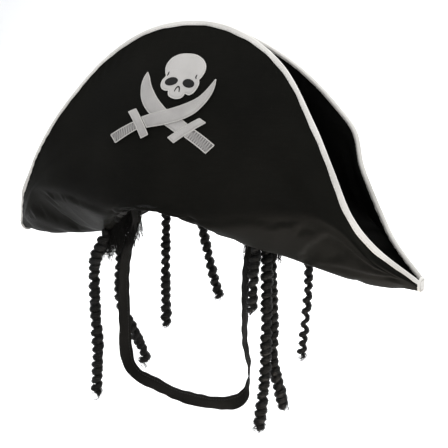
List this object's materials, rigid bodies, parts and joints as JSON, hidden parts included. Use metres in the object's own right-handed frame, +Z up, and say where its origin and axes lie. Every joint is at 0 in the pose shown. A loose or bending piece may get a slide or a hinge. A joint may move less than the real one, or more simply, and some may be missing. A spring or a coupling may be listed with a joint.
{
  "type": "costume pirate hat",
  "caption": "Black bicorne costume hat with turned-up padded flaps, pale edge binding, a skull and crossed swords emblem, hanging crimped hair and a ribbon chin strap.",
  "frame": {"origin": "middle of the head opening, at the height of its front edge", "axes": "+Z up, the front with the emblem faces -Y, +X towards the side tip at the right of a viewer who faces the emblem"},
  "size_m": [0.487, 0.213, 0.4166],
  "materials": {
    "satin": "black satin with a soft sheen",
    "foam": "soft foam",
    "lining": "black satin lining",
    "binding": "white woven tape",
    "thread_light": "folded white tape, stitched on",
    "crown_cloth": "black cloth",
    "sweatband_cloth": "black woven band",
    "hair_roots": "stitched hair weft",
    "patch": "pale grey sewn-on cloth",
    "patch_dark": "dark grey stitched inlay",
    "hair": "crimped black synthetic hair",
    "ribbon": "black grosgrain ribbon",
    "thread_dark": "black bar tack stitching"
  },
  "bodies": {
    "hat": {"front_outer": "satin", "front_foam": "foam", "front_lining": "lining", "front_binding": "binding", "back_outer": "satin", "back_foam": "foam", "back_lining": "lining", "back_binding": "binding", "tip_tacks": "thread_light", "crown_front": "crown_cloth", "crown_back": "crown_cloth", "sweatband": "sweatband_cloth", "hair_weft": "hair_roots", "skull_patch": "patch", "skull_sockets": "patch_dark", "upper_sword": "patch", "lower_sword": "patch", "strap_ends": "ribbon", "strap_tacks": "thread_dark"},
    "strand_left_front_body": {"strand_left_front": "hair"},
    "strand_left_side_body": {"strand_left_side": "hair"},
    "strand_left_back_body": {"strand_left_back": "hair"},
    "strand_nape_body": {"strand_nape": "hair"},
    "strand_right_front_body": {"strand_right_front": "hair"},
    "strand_right_inner_body": {"strand_right_inner": "hair"},
    "strand_right_outer_body": {"strand_right_outer": "hair"},
    "strand_right_back_body": {"strand_right_back": "hair"},
    "chin_strap_body": {"chin_strap": "ribbon"}
  },
  "joints": [
    {"name": "strap_swing", "type": "hinge", "parent": "hat", "child": "chin_strap_body", "pos_m": [0, -0.02, -0.032], "axis": [1, 0, 0], "range_deg": [-50, 45]},
    {"name": "left_front_swing", "type": "hinge", "parent": "hat", "child": "strand_left_front_body", "pos_m": [-0.088, -0.05, -0.039], "axis": [0, 1, 0], "range_deg": [0, 25]},
    {"name": "left_side_swing", "type": "hinge", "parent": "hat", "child": "strand_left_side_body", "pos_m": [-0.101, -0.007, -0.052], "axis": [0, 1, 0], "range_deg": [0, 25]},
    {"name": "left_back_swing", "type": "hinge", "parent": "hat", "child": "strand_left_back_body", "pos_m": [-0.065, 0.03, -0.02], "axis": [0, 1, 0], "range_deg": [-15, 2]},
    {"name": "nape_swing", "type": "hinge", "parent": "hat", "child": "strand_nape_body", "pos_m": [-0.062, 0.088, -0.016], "axis": [0, 1, 0], "range_deg": [-12, 12]},
    {"name": "right_front_swing", "type": "hinge", "parent": "hat", "child": "strand_right_front_body", "pos_m": [0.078, -0.026, -0.038], "axis": [0, 1, 0], "range_deg": [-20, 0]},
    {"name": "right_inner_swing", "type": "hinge", "parent": "hat", "child": "strand_right_inner_body", "pos_m": [0.08, -0.007, -0.043], "axis": [0, 1, 0], "range_deg": [-20, 0]},
    {"name": "right_outer_swing", "type": "hinge", "parent": "hat", "child": "strand_right_outer_body", "pos_m": [0.0765, 0.01, -0.042], "axis": [0, 1, 0], "range_deg": [-20, 2]},
    {"name": "right_back_swing", "type": "hinge", "parent": "hat", "child": "strand_right_back_body", "pos_m": [0.094, 0.06, -0.032], "axis": [0, 1, 0], "range_deg": [-20, 5]}
  ]
}
